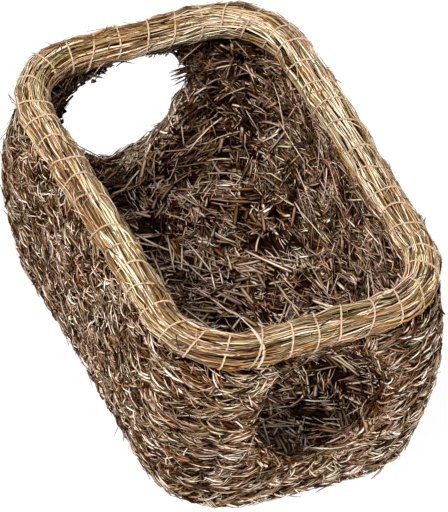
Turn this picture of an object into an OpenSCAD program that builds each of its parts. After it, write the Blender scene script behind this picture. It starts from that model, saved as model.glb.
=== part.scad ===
// Hay feeder: a tub sewn from a thick grass plait, with a bound straw rim and a round hole in each end.
// X runs along the length, Y across, Z up. The tub stands on Z = 0 and is centred on the Z axis.

/* [Tub] */
// Length over the rim
rim_length = 340; // [300:1:420]
// Width over the rim
rim_width = 224; // [200:1:280]
// Height from the floor underside to the top of the rim
tub_height = 171.5; // [150:0.5:210]
// Corner radius of the rim, on its outside
rim_corner = 66; // [52:1:74]
// How far the wall bulges past the line of the rim at its fullest
belly = 7.5; // [2:0.5:9]

/* [Plait] */
// Thickness of the wall plait
plait_thickness = 18; // [14:0.5:22]
// How far the two faces of a plait fall back at its edges
plait_rounding = 4; // [2:0.5:5]
// How far the strands of the wall plait stand out of the gaps between them
strand_relief = 3; // [1.5:0.5:4]
// Thickness of the floor plait
floor_thickness = 16; // [10:0.5:18]

/* [End holes] */
// Diameter of the round hole in each end, right under the rim
hole_diameter = 100; // [60:1:112]

/* [Rim] */
// Diameter of the straw bundle
rim_diameter = 24; // [20:0.5:28]
// Diameter of the twine wound round the bundle
twine_diameter = 2.2; // [1.6:0.1:3]

/* [Seams] */
// Diameter of the cord between two courses
cord_diameter = 2; // [1:0.1:3]

/* [Fits] */
// Clearance between two pieces that lie against each other
touch = 0.15; // [0.1:0.05:0.3]
// Gap between the two ends of one length
joint_gap = 0.6; // [0.5:0.1:1.2]

/* [Hidden] */

wall_courses = 7;
floor_runs = 9;
strand_steps = 60;
turns_per_binding = 22;
rings_per_turn = 14;
twine_sides = 6;
bend_rings = 4;

plait_colour = [0.45, 0.35, 0.22];
floor_colour = [0.40, 0.31, 0.19];
cord_colour = [0.62, 0.52, 0.36];
rim_colour = [0.78, 0.65, 0.42];
twine_colour = [0.86, 0.78, 0.62];

$fn = 96;

rim_radius = rim_diameter / 2;
twine_radius = twine_diameter / 2;
half_length = rim_length / 2 - rim_radius;
half_width = rim_width / 2 - rim_radius;
corner = rim_corner - rim_radius;
rim_z = tub_height - rim_radius;

// The twine path keeps clear of the bundle between its rings, where it cuts the corner
winding_radius = (rim_radius + touch + twine_radius) / cos(180 / rings_per_turn);
wall_top = rim_z - winding_radius - twine_radius - touch;

cord_gap = cord_diameter + 2 * touch;
course_pitch = (wall_top + cord_gap) / wall_courses;
course_height = course_pitch - cord_gap;

// The hole reaches up to the bundle
hole_z = rim_z - rim_radius - hole_diameter / 2;

floor_half_length = half_length + bulge(course_height / 2) - plait_thickness / 2 - touch;
floor_half_width = half_width + bulge(course_height / 2) - plait_thickness / 2 - touch;
floor_corner = corner + bulge(course_height / 2) - plait_thickness / 2 - touch;
floor_pitch = (2 * floor_half_width + cord_gap) / floor_runs;
run_width = floor_pitch - cord_gap;
fold_bite = cord_gap / 2;
fold_height = floor_thickness - plait_rounding - fold_bite;

// Bulge of the wall at a height: fullest a little above half way, drawn in at the foot
function bulge(z) = belly * (1 - pow((z - 0.55 * rim_z) / (0.4 * rim_z), 2));

function course_z(i) = (i - 1) * course_pitch;
function course_bulge(i) = bulge(course_z(i) + course_height / 2);
function seam_z(i) = i * course_pitch - cord_gap / 2;
function seam_bulge(i) = (course_bulge(i) + course_bulge(i + 1)) / 2;

// Building blocks

// A plait lying down: flat underneath, rounded on top
module floor_section() {
    arc = (pow(run_width / 2, 2) + pow(plait_rounding, 2)) / (2 * plait_rounding);
    intersection() {
        translate([-run_width / 2, 0]) square([run_width, 2 * floor_thickness]);
        translate([0, floor_thickness - arc]) circle(arc);
    }
}

// A straight length across the near end, from y0 to y1 at the given x
module run(x, y0, y1) {
    translate([x, y1, 0]) rotate([90, 0, 0]) linear_extrude(y1 - y0) children();
}

// A quarter turn about the Z axis
module bend(r) {
    rotate_extrude(angle = 90) translate([r, 0]) children();
}

// The right half of a loop, from the middle of the near end to the middle of the far end
module half_loop(l, w, r, far_gap) {
    run(l, 0, w - r) children();
    translate([l - r, w - r, 0]) bend(r) children();
    rotate([0, 0, 90]) run(w, r - l, l - r) children();
    translate([r - l, w - r, 0]) rotate([0, 0, 90]) bend(r) children();
    rotate([0, 0, 180]) run(l, r - w, -far_gap) children();
}

// A whole loop whose two ends stand a joint gap apart at the far end
module open_loop(l, w, r) {
    half_loop(l, w, r, joint_gap / 2) children();
    mirror([0, 1, 0]) half_loop(l, w, r, joint_gap / 2) children();
}

// The bore that opens both ends of the tub
module end_holes() {
    translate([0, 0, hole_z]) rotate([0, 90, 0])
        cylinder(d = hole_diameter, h = 2 * rim_length, center = true);
}

// Rim line

// The near half of the rim line, from the middle of the right side to the middle of the left side
straight_part = half_length - corner;
end_part = 2 * (half_width - corner);
arc_part = corner * PI / 2;
half_rim = 2 * straight_part + 2 * arc_part + end_part;

// Direction of the rim line at s, as an angle about Z
function rim_heading(s) =
    let (first = s - straight_part, second = first - arc_part - end_part)
    -(first <= 0 ? 0 : min(first / arc_part, 1) * 90) - (second <= 0 ? 0 : min(second / arc_part, 1) * 90);

// Point of the rim line at s
function rim_point(s) =
    let (heading = rim_heading(s))
    let (across = s < straight_part + arc_part ? half_width - corner
        : s > straight_part + arc_part + end_part ? corner - half_width
        : half_width - corner - (s - straight_part - arc_part))
    let (along = s < straight_part ? s
        : s > half_rim - straight_part ? half_rim - s
        : straight_part)
    [along - corner * sin(heading), across + corner * cos(heading), rim_z];

function rim_along(s) = [cos(rim_heading(s)), sin(rim_heading(s)), 0];
function rim_outward(s) = [-sin(rim_heading(s)), cos(rim_heading(s)), 0];

// Floor

function run_y(k) = (k - (floor_runs - 1) / 2) * floor_pitch;

// Half the length of the floor at a distance y from its middle line
function floor_reach(y) =
    let (past = y - (floor_half_width - floor_corner))
    floor_half_length - floor_corner + (past > 0 ? sqrt(pow(floor_corner, 2) - past * past) : floor_corner);

// Where the fold between runs k and k + 1 ends
function fold_end(k) = floor_reach(abs(run_y(k) + floor_pitch / 2) + floor_pitch / 2);

// Outline of the floor: a rounded rectangle just inside the first course
module floor_outline() {
    inner_length = floor_half_length - floor_corner;
    inner_width = floor_half_width - floor_corner - touch;
    depth = 3 * floor_thickness;
    translate([0, 0, -floor_thickness]) {
        translate([-inner_length, -inner_width - floor_corner, 0])
            cube([2 * inner_length, 2 * (inner_width + floor_corner), depth]);
        for (half = [0, 180]) {
            rotate([0, 0, half]) {
                translate([inner_length, -inner_width, 0]) cube([floor_corner, 2 * inner_width, depth]);
                translate([inner_length, inner_width, 0])
                    rotate_extrude(angle = 90) square([floor_corner, depth]);
                translate([-inner_length, inner_width, 0]) rotate([0, 0, 90])
                    rotate_extrude(angle = 90) square([floor_corner, depth]);
            }
        }
    }
}

// One plait laid to and fro, folded at alternate ends
module floor_plait() {
    run_length = 2 * (floor_half_length + run_width);
    color(floor_colour) {
        intersection() {
            for (k = [0 : floor_runs - 1]) {
                translate([-run_length / 2, run_y(k), 0])
                    rotate([90, 0, 90]) linear_extrude(run_length) floor_section();
            }
            floor_outline();
        }
        for (k = [0 : floor_runs - 2]) {
            side = k % 2 == 0 ? 1 : -1;
            translate([side * (fold_end(k) - run_width / 2), run_y(k) + floor_pitch / 2, fold_height / 2])
                cube([run_width, cord_gap + 2 * fold_bite, fold_height], center = true);
        }
    }
}

// One straight cord in each gap between two runs, stopping short of the fold
module floor_seam_cords() {
    color(cord_colour)
    for (k = [0 : floor_runs - 2]) {
        side = k % 2 == 0 ? 1 : -1;
        cord_length = 2 * fold_end(k) - run_width - cord_gap - touch;
        translate([side * (cord_gap - run_width - touch) / 2, run_y(k) + floor_pitch / 2, fold_height / 2])
            rotate([0, 90, 0]) cylinder(d = cord_diameter, h = cord_length, center = true);
    }
}

// Wall

// A course is a row of rings across the plait, one at each place where a strand lies on top.
// The strands come up in turn in the upper and the lower half of the outer face, and lean apart to its edges.
strand_step = half_rim / strand_steps;
strand_lean = 0.75 * strand_step;
strand_height = 0.28 * course_height;
face_out = plait_thickness / 2;
edge_out = face_out - plait_rounding;
ring_corners = 7;

// What a straight line between two rings cuts off the inner face in a corner
corner_sag = (corner - face_out) * (1 - cos(strand_step / corner * 90 / PI));

// Point of the wall: along the rim line from the middle of the near end, out from that line, and up
function wall_point(s, out, z) =
    let (from_right = abs(half_rim / 2 - abs(s)))
    let (point = rim_point(from_right) + out * rim_outward(from_right))
    [abs(s) < half_rim / 2 ? point.x : -point.x, s < 0 ? -point.y : point.y, z];

// In ring k of course i, the strand on top is in the upper half
function strand_up(i, k) = abs(i + k) % 2 == 1;

// Ring k of course i, from the lower outer edge round to the lower inner edge
function plait_ring(i, k, s, lean) =
    let (out = course_bulge(i), low = course_z(i), high = low + course_height)
    let (lower = strand_up(i, k) ? strand_relief : 0, upper = strand_relief - lower)
    [
        wall_point(s + lean, out + edge_out - lower / 2, low),
        wall_point(s, out + face_out - lower, low + strand_height),
        wall_point(s, out + face_out - upper, high - strand_height),
        wall_point(s + lean, out + edge_out - upper / 2, high),
        wall_point(s, out - edge_out, high),
        wall_point(s, out - face_out + corner_sag, (low + high) / 2),
        wall_point(s, out - edge_out, low)
    ];

// The two triangles between rings k and k + 1 on side j; in the middle of the outer face and
// along its edges they meet on the line from strand to strand
function plait_faces(i, k, j, start) =
    let (a = start + j, b = start + (j + 1) % ring_corners)
    let (c = b + ring_corners, d = a + ring_corners)
    j == 2 || (j == 1 && strand_up(i, k)) ? [[a, b, d], [b, c, d]] : [[a, b, c], [a, c, d]];

// A length of plait from ring first to the far end of the loop, from s_first to s_last
module plait_course(i, first, s_first, s_last) {
    rings = strand_steps - first;
    points = [
        for (k = [first : strand_steps])
            let (is_end = k == first || k == strand_steps)
            let (s = max(s_first, min(s_last, k * strand_step)))
            for (point = plait_ring(i, k, s, is_end ? 0 : strand_lean)) point
    ];
    sides = [
        for (k = [0 : rings - 1])
            for (j = [0 : ring_corners - 1])
                for (face = plait_faces(i, first + k, j, k * ring_corners)) face
    ];
    near_cap = [for (j = [ring_corners - 1 : -1 : 0]) j];
    far_cap = [for (j = [0 : ring_corners - 1]) rings * ring_corners + j];
    polyhedron(points = points, faces = concat([near_cap], sides, [far_cap]));
}

module whole_course(i) {
    reach = half_rim - joint_gap / 2;
    color(plait_colour)
    difference() {
        plait_course(i, -strand_steps, -reach, reach);
        end_holes();
    }
}

module right_course(i) {
    color(plait_colour)
    difference() {
        plait_course(i, 0, joint_gap / 2, half_rim - joint_gap / 2);
        end_holes();
    }
}

module left_course(i) {
    mirror([0, 1, 0]) right_course(i);
}

module whole_seam_cord(i) {
    color(cord_colour)
    difference() {
        translate([0, 0, seam_z(i)])
            open_loop(half_length + seam_bulge(i), half_width + seam_bulge(i), corner + seam_bulge(i))
                circle(d = cord_diameter);
        end_holes();
    }
}

module right_seam_cord(i) {
    color(cord_colour)
    difference() {
        translate([0, 0, seam_z(i)])
            half_loop(half_length + seam_bulge(i), half_width + seam_bulge(i), corner + seam_bulge(i), 0)
                circle(d = cord_diameter);
        end_holes();
    }
}

module left_seam_cord(i) {
    mirror([0, 1, 0]) right_seam_cord(i);
}

// Rim

// The twine starts and ends in a pocket on the inner side of the bundle
tuck_bend = 1.4 * twine_diameter;
tuck_angle = 200;
tuck_sweep = tuck_bend / winding_radius * 180 / PI;
tuck_end = winding_radius - tuck_bend - twine_diameter;
pocket_floor = tuck_end - touch;
pocket_size = 2 * (tuck_bend + twine_diameter);
first_s = pocket_size / 2 + joint_gap;
last_s = half_rim - first_s;
winding_sweep = 360 * turns_per_binding;

// Each ring of the twine: place along the rim, angle round it, distance from its middle;
// the angle falls along the way, so the turns lean as they do in the photo
winding_rings = concat(
    [[first_s, tuck_angle, tuck_end]],
    [for (k = [0 : bend_rings - 1])
        let (turn = 90 * k / bend_rings)
        [first_s, tuck_angle - tuck_sweep * (1 - cos(turn)), winding_radius - tuck_bend * (1 - sin(turn))]],
    [for (k = [0 : turns_per_binding * rings_per_turn])
        let (share = k / (turns_per_binding * rings_per_turn))
        [first_s + share * (last_s - first_s),
            tuck_angle - tuck_sweep - share * (winding_sweep - 2 * tuck_sweep), winding_radius]],
    [for (k = [bend_rings - 1 : -1 : 0])
        let (turn = 90 * k / bend_rings)
        [last_s, tuck_angle - winding_sweep + tuck_sweep * (1 - cos(turn)),
            winding_radius - tuck_bend * (1 - sin(turn))]],
    [[last_s, tuck_angle - winding_sweep, tuck_end]]
);
ring_count = len(winding_rings);

function rim_spoke(s, angle) = cos(angle) * rim_outward(s) + [0, 0, sin(angle)];
function ring_centre(ring) = rim_point(ring[0]) + ring[2] * rim_spoke(ring[0], ring[1]);
function unit(v) = v / norm(v);

twine_path = [for (ring = winding_rings) ring_centre(ring)];

function twine_heading(k) = unit(twine_path[min(k + 1, ring_count - 1)] - twine_path[max(k - 1, 0)]);
function twine_side(k) =
    let (heading = twine_heading(k), along = rim_along(winding_rings[k][0]))
    unit(along - (along * heading) * heading);

twine_points = [
    for (k = [0 : ring_count - 1])
        let (side = twine_side(k), lift = cross(twine_heading(k), side))
        for (j = [0 : twine_sides - 1])
            let (angle = 360 * j / twine_sides)
            twine_path[k] + twine_radius * (cos(angle) * side + sin(angle) * lift)
];

function twine_corner(k, j) = k * twine_sides + j % twine_sides;

twine_faces = concat(
    [[for (j = [0 : twine_sides - 1]) j]],
    [for (k = [0 : ring_count - 2])
        for (j = [0 : twine_sides - 1])
            for (half = [0, 1])
                half == 0
                    ? [twine_corner(k, j), twine_corner(k + 1, j), twine_corner(k + 1, j + 1)]
                    : [twine_corner(k, j), twine_corner(k + 1, j + 1), twine_corner(k, j + 1)]],
    [[for (j = [twine_sides - 1 : -1 : 0]) twine_corner(ring_count - 1, j)]]
);

// Least gap of the twine to itself, measured between path points at least half a turn apart
twine_gap = min([
    for (a = [0 : ring_count - 1])
        for (b = [a + rings_per_turn / 2 : 1 : ring_count - 1])
            norm(twine_path[a] - twine_path[b])
]) - twine_diameter;
echo(twine_gap_to_itself = twine_gap);

// Least gap of an open loop to itself: between the two end points at the far end
loop_ends = [[-half_length, joint_gap / 2, rim_z], [-half_length, -joint_gap / 2, rim_z]];
echo(open_loop_gap_to_itself = norm(loop_ends[0] - loop_ends[1]));
echo(floor_runs_gap = floor_pitch - run_width);

module near_rim_binding() {
    color(twine_colour) polyhedron(points = twine_points, faces = twine_faces);
}

module far_rim_binding() {
    rotate([0, 0, 180]) near_rim_binding();
}

// Pockets of the bundle for the two ends of one binding
module tuck_pockets() {
    for (s = [first_s, last_s]) {
        translate(rim_point(s))
            rotate([0, 0, rim_heading(s)])
                rotate([tuck_angle, 0, 0])
                    rotate([-90, 0, 0])
                        translate([0, 0, pocket_floor]) cylinder(d = pocket_size, h = rim_diameter);
    }
}

module rim_bundle() {
    color(rim_colour)
    difference() {
        translate([0, 0, rim_z]) open_loop(half_length, half_width, corner) circle(rim_radius);
        tuck_pockets();
        rotate([0, 0, 180]) tuck_pockets();
    }
}

floor_plait();
floor_seam_cords();
whole_course(1);  // course_1
whole_course(2);  // course_2
left_course(3);  // left_course_3
left_course(4);  // left_course_4
left_course(5);  // left_course_5
left_course(6);  // left_course_6
left_course(7);  // left_course_7
right_course(3);  // right_course_3
right_course(4);  // right_course_4
right_course(5);  // right_course_5
right_course(6);  // right_course_6
right_course(7);  // right_course_7
whole_seam_cord(1);  // seam_cord_1
whole_seam_cord(2);  // seam_cord_2
left_seam_cord(3);  // left_seam_cord_3
left_seam_cord(4);  // left_seam_cord_4
left_seam_cord(5);  // left_seam_cord_5
left_seam_cord(6);  // left_seam_cord_6
right_seam_cord(3);  // right_seam_cord_3
right_seam_cord(4);  // right_seam_cord_4
right_seam_cord(5);  // right_seam_cord_5
right_seam_cord(6);  // right_seam_cord_6
rim_bundle();
near_rim_binding();
far_rim_binding();
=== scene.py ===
from collections import namedtuple
from functools import partial
from math import pi, radians, sqrt

import bpy
import numpy as np
from numpy import clip, cos, linspace, maximum, sin, where
from mathutils import Matrix, Vector


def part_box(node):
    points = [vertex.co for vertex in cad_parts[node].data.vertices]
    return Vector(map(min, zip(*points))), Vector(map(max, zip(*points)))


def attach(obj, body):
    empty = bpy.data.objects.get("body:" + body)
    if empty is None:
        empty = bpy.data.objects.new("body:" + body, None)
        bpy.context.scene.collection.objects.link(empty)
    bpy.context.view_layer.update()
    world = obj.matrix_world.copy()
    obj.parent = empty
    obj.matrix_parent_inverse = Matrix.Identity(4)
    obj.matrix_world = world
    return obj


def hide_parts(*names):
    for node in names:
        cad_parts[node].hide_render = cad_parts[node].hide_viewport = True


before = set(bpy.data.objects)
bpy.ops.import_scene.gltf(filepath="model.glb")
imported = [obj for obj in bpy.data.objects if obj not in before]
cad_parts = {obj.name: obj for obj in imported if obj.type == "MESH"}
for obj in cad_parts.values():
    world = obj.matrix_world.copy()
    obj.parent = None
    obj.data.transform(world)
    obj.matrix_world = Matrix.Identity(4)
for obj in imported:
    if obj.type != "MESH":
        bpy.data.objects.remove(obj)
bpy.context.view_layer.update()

MM = 0.001
TURN = 2 * pi
UPWARD = np.array([0.0, 0.0, 1.0])

# Sizes of the tub, as in the CAD model
HALF_LENGTH = 158 * MM
HALF_WIDTH = 100 * MM
CORNER = 54 * MM
BELLY = 7.5 * MM
RIM_RADIUS = 12 * MM
RIM_Z = 159.5 * MM
RIM_BOTTOM = RIM_Z - RIM_RADIUS
HOLE_RADIUS = 50 * MM
HOLE_Z = RIM_BOTTOM - HOLE_RADIUS
COURSES = 7
WHOLE_COURSES = (1, 2)
FIRST_SPLIT = len(WHOLE_COURSES) + 1
COURSE_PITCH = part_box("course_2")[0].z
COURSE_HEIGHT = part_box("course_1")[1].z
CORD_GAP = COURSE_PITCH - COURSE_HEIGHT
FLOOR_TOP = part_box("floor_plait")[1].z
FLOOR_HALF_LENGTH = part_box("floor_plait")[1].x
FLOOR_HALF_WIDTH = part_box("floor_plait")[1].y
FLOOR_CORNER = 40 * MM
FLOOR_RUNS = 9

# Camera of the photo, from a fit to its rim, outline and holes
PHOTO_HEIGHT = 512
FOCAL_PIXELS = 8000
SENSOR = 36.0
CAMERA_AZIMUTH = radians(61.45)
CAMERA_ELEVATION = radians(44.84)
CAMERA_ROLL = radians(5.72)
CAMERA_DISTANCE = 5711.26 * MM
CAMERA_TARGET = (0.88 * MM, 1.38 * MM, 85.41 * MM)

# Soft square lights: name, place, target, size and power
LIGHTS = [
    ("key", (0.10, -1.20, 1.50), (0, 0, 0.1), 0.6, 36),
    ("top", (0.50, -0.72, 1.60), (0, 0, 0.1), 0.8, 33),
    ("front", (1.52, 0.92, 0.14), (0, 0, 0.08), 0.6, 43),
    ("back", (-1.35, 1.10, 0.45), (0, 0, 0.08), 0.6, 18),
]
WORLD_LIGHT = 0.10

# The rim line is a rounded rectangle, measured along its length from the middle of the near end
QUARTER = CORNER * pi / 2
STRAIGHT_X = HALF_LENGTH - CORNER
STRAIGHT_Y = HALF_WIDTH - CORNER
LOOP_STEPS = [STRAIGHT_Y, QUARTER, 2 * STRAIGHT_X, QUARTER, 2 * STRAIGHT_Y]
LOOP_STEPS += [QUARTER, 2 * STRAIGHT_X, QUARTER, STRAIGHT_Y]
LOOP_KNOTS = np.concatenate([[0.0], np.cumsum(LOOP_STEPS)])
LOOP = float(LOOP_KNOTS[-1])
LOOP_ANGLES = np.array([0, 0, 1, 1, 2, 2, 3, 3, 4, 4]) * (pi / 2)
LOOP_X = np.array([1, 1, 1, -1, -1, -1, -1, 1, 1, 1]) * STRAIGHT_X
LOOP_Y = np.array([0, 1, 1, 1, 1, -1, -1, -1, -1, 0]) * STRAIGHT_Y
RIGHT_MIDDLE = STRAIGHT_Y + QUARTER + STRAIGHT_X

# Straw map: a grid of cells, one shade to a column and one hue to a row
CELLS = 16
CELL_EDGE = 0.06
SHADES = (0.04, 0.995)
PALE_SHADES = (0.74, 0.98)
# Shade of the dark cores: painted shade that shows in the gaps between straws
DARKEST = 0.0
HUES = (0, 0.999)
MIDDLE_HUE = 0.5

# Materials of a piece, in their order
FACE, CORE, INNER = range(3)

# Kinds of straw. Length, width and thickness are in mm, as two limits or as the shape, scale and limits
# of a gamma law. Shade is its mean, spread how far it varies and patch how far it goes by patches. Pale is
# a width in mm and the share of pale straws below and above it. Over is how far a straw lies on top.
Kind = namedtuple(
    "Kind",
    "rings length width thick shade spread patch pale tip finish over",
    defaults=(0.3, FACE, 0.0),
)
NONE_PALE = (0, 0, 0)
PLAIT = Kind(
    4, (8, 24), (4.5, 0.31, 0.6, 3.2), (0.45, 0.9), 0.52, 0.25, 0.08, (1.3, 0.18, 0.05), tip=0.4
)
# Dark blades under the top layer: painted shade in the gaps between the strands
DEEP_PLAIT = PLAIT._replace(rings=3, width=(2.0, 4.0), shade=0.04, spread=0.04, pale=NONE_PALE)
LOOSE = Kind(3, (6.0, 2.1, 5, 24), (3.4, 0.29, 0.45, 2.6), (0.4, 0.7), 0.42, 0.26, 0.10, (0, 0, 0.09))
# Many thin straws inside are pale: pale straw, and painted highlights for the glints on fine straw
TUFTS = Kind(
    3, (4.0, 2.7, 4, 34), (2.6, 0.46, 0.4, 3.8), (0.35, 0.7), -0.05, 0.18, 0.12, (1.2, 0.32, 0.08),
    tip=0.8, finish=INNER,
)
# Still more pale straws on the floor: pale straw, with painted highlights and painted light from above
FLOOR_TUFTS = TUFTS._replace(pale=(1.2, 0.49, 0.25))
# A dark layer under the chopped straw: painted shade beneath it
UNDER_TUFTS = TUFTS._replace(
    rings=2, width=(1.6, 3.4), shade=0.06, spread=0.08, pale=NONE_PALE, tip=1.0, finish=CORE
)
STALKS = Kind(
    4, (16, 42), (0.8, 2.4), (0.5, 0.9), 0.80, 0.18, 0.05, NONE_PALE,
    tip=0.92, finish=INNER, over=1.4 * MM,
)
FLAKES = STALKS._replace(length=(9, 25), width=(1.5, 3.8), shade=0.52, over=-0.5 * MM)
LIP = Kind(6, (12, 34), (6.0, 0.25, 0.7, 3.0), (0.4, 0.8), 0.36, 0.25, 0.1, (0, 0, 0.10))
FOLDS = LIP._replace(rings=9, length=(6, 19), width=(6.0, 0.32, 0.9, 3.8), shade=0.44)
UNDERSIDE = Kind(4, (16, 40), (7.0, 0.28, 1.0, 3.6), (0.45, 0.8), 0.5, 0.2, 0.1, (0, 0, 0.04))
FRINGE = Kind(4, (7, 20), (0.6, 1.6), (0.4, 0.7), 0.38, 0.2, 0.1, (0, 0, 0.02))


# Places on the tub

def loop_frame(s):
    """Middle of curvature and outward direction of the rim line at length s."""
    s = np.mod(s, LOOP)
    angle = np.interp(s, LOOP_KNOTS, LOOP_ANGLES)
    x = np.interp(s, LOOP_KNOTS, LOOP_X)
    y = np.interp(s, LOOP_KNOTS, LOOP_Y)
    zero = np.zeros_like(x)
    middle = np.stack([x, y, zero], -1)
    outward = np.stack([cos(angle), sin(angle), zero], -1)
    return middle, outward


def along_of(outward):
    """Direction along the rim line from its outward direction."""
    return np.stack([-outward[..., 1], outward[..., 0], np.zeros_like(outward[..., 0])], -1)


def bulge(z):
    """How far the wall stands outside the rim line at height z."""
    return BELLY * (1 - ((z - 0.55 * RIM_Z) / (0.4 * RIM_Z)) ** 2)


def near_place(s, place, reach):
    """1 at a place of the loop, falling to 0 within its reach, both as shares of the loop."""
    away = np.mod(s - place * LOOP + LOOP / 2, LOOP) - LOOP / 2
    return np.exp(-(away / (reach * LOOP)) ** 2)


def rises(s, *places):
    """Sum of rises along the loop, each with a size, a place and a reach."""
    return sum(size * near_place(s, place, reach) for size, place, reach in places)


def wall_lean(s, height):
    """How far the hand-sewn wall stands outside its even shape."""
    foot = clip(1 - height / (110 * MM), 0, 1)
    belly = clip(1 - ((height - 95 * MM) / (60 * MM)) ** 2, 0, 1)
    low = rises(s, (3.6, 0.03, 0.08), (-2.2, 0.74, 0.08), (-2.6, 0.90, 0.05))
    high = rises(s, (5.0, 0.60, 0.05), (1.5, 0.10, 0.04))
    return (low * foot + high * belly) * MM


def wall_point(s, height, depth):
    """Point of the wall: along the loop, up, and outward from its middle."""
    middle, outward = loop_frame(s)
    point = middle + outward * (CORNER + bulge(height) + wall_lean(s, height) + depth)[..., None]
    point[..., 2] = height
    return point


def wall_vector(s, along, up, out):
    """Direction in the wall from its three parts."""
    _, outward = loop_frame(s)
    vector = along_of(outward) * np.expand_dims(along, -1) + outward * np.expand_dims(out, -1)
    vector[..., 2] += up
    return vector


def rim_sway(s):
    """How far the rim lies above its level line, the unevenness of hand work."""
    turn = TURN * s / LOOP
    return (1.6 * cos(turn - 0.25) + 0.9 * sin(3 * turn + 0.6)) * MM


def rim_lean(s):
    """How far the rim stands outside its even line."""
    return rises(s, (2.4, 0.59, 0.05), (-2.0, 0.19, 0.06), (-2.4, 0.12, 0.04)) * MM


def rim_point(s, angle, radius):
    """Point of the rim bundle: along the loop, round the bundle and out from its middle."""
    middle, outward = loop_frame(s)
    point = middle + outward * (CORNER + rim_lean(s) + radius * cos(angle))[..., None]
    point[..., 2] = RIM_Z + rim_sway(s) + radius * sin(angle)
    return point


def rim_vector(s, along, angle):
    """Direction on the rim's skin: part along the loop, the rest round the bundle."""
    return wall_vector(s, along, cos(angle), -sin(angle))


def hole_edge(turn, far):
    """How far the edge of a hole lies outside its circle: wider below, ragged all round."""
    low = (7.0 + 4.5 * far) * clip(cos(turn - radians(235)), 0, 1) ** 0.7
    ripple = 1.3 * sin(3 * turn + 1) + 1.0 * sin(7 * turn + 2) + 0.7 * sin(13 * turn)
    return (low + ripple) * MM


def in_hole(point, slack):
    """True where a point of the wall lies in an end hole, which has a ragged edge."""
    y = point[..., 1]
    z = point[..., 2] - HOLE_Z
    turn = np.arctan2(z, y)
    ragged = hole_edge(turn, point[..., 0] < 0)
    return (np.hypot(y, z) < HOLE_RADIUS + ragged + slack) & (np.abs(point[..., 0]) > STRAIGHT_X)


# Chance

class Patches:
    """Smooth uneven patches over the wall, from about -1 to 1."""

    def __init__(self, seed):
        rng = np.random.default_rng(seed)
        self.waves = np.round(rng.uniform(6, 34, 10))
        self.climbs = rng.uniform(-170, 170, 10)
        self.starts = rng.uniform(0, TURN, 10)

    def at(self, s, z):
        total = 0
        for wave, climb, start in zip(self.waves, self.climbs, self.starts):
            total = total + sin(TURN * wave * s / LOOP + climb * z + start)
        return total / sqrt(len(self.waves) * 2)


shade_patches, hue_patches, clumps, grain = (Patches(seed) for seed in (7, 8, 9, 10))


class Draw:
    """Chance for straws in groups of one size, as columns with one value to each straw.

    It comes from a seed, or goes on with a generator that is given.
    """

    def __init__(self, source, groups, size=1):
        self.rng = np.random.default_rng(source)
        self.groups = groups
        self.count = groups * size
        self.group = np.repeat(np.arange(groups), size)

    def even(self, low, high):
        """Values between two limits."""
        return self.rng.uniform(low, high, (self.count, 1))

    def bell(self, mean, spread):
        """Values by a normal law."""
        return self.rng.normal(mean, spread, (self.count, 1))

    def whole(self, limit):
        """Whole numbers from 0 to below a limit."""
        return self.rng.integers(0, limit, (self.count, 1))

    def size(self, law):
        """Sizes by a kind's law, from mm to metres."""
        if len(law) == 2:
            return self.even(*law) * MM
        shape, scale, low, high = law
        return self.rng.gamma(shape, scale, (self.count, 1)).clip(low, high) * MM

    def group_even(self, low, high):
        """Values between two limits, the same for all straws of a group."""
        return self.rng.uniform(low, high, (self.groups, 1))[self.group]

    def group_bell(self, mean, spread):
        """Values by a normal law, the same for all straws of a group."""
        return self.rng.normal(mean, spread, (self.groups, 1))[self.group]


def straw_tones(draw, place, mean, kind, width):
    """Shade and hue of each straw, with uneven patches and a share of pale ones."""
    shade = draw.bell(mean, kind.spread) + kind.patch * shade_patches.at(*place)
    limit, thin_share, share = kind.pale
    pale = draw.even(0, 1) < where(width < limit * MM, thin_share, share)
    shade = where(pale, draw.even(*PALE_SHADES), shade)
    hue = MIDDLE_HUE + 0.18 * hue_patches.at(*place) + draw.bell(0, 0.30)
    return clip(shade, *SHADES), clip(hue, *HUES)


# Straw

Blades = namedtuple("Blades", "path across width thick shade hue")


def pick(blades, kept):
    """The blades that are kept."""
    return Blades(*(part[kept] for part in blades))


def unit(vectors):
    """Directions of vectors; the small number keeps a zero vector from dividing by zero."""
    return vectors / (np.linalg.norm(vectors, axis=-1, keepdims=True) + 1e-12)


def sides_of(path, across):
    """Two directions square to a path, the first as near as can be to one that is given."""
    heading = unit(np.gradient(path, axis=-2))
    side = unit(across - heading * np.sum(across * heading, -1, keepdims=True))
    return side, np.cross(heading, side)


def add_object(name, data):
    """A new object in the scene."""
    obj = bpy.data.objects.new(name, data)
    bpy.context.scene.collection.objects.link(obj)
    return obj


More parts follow.
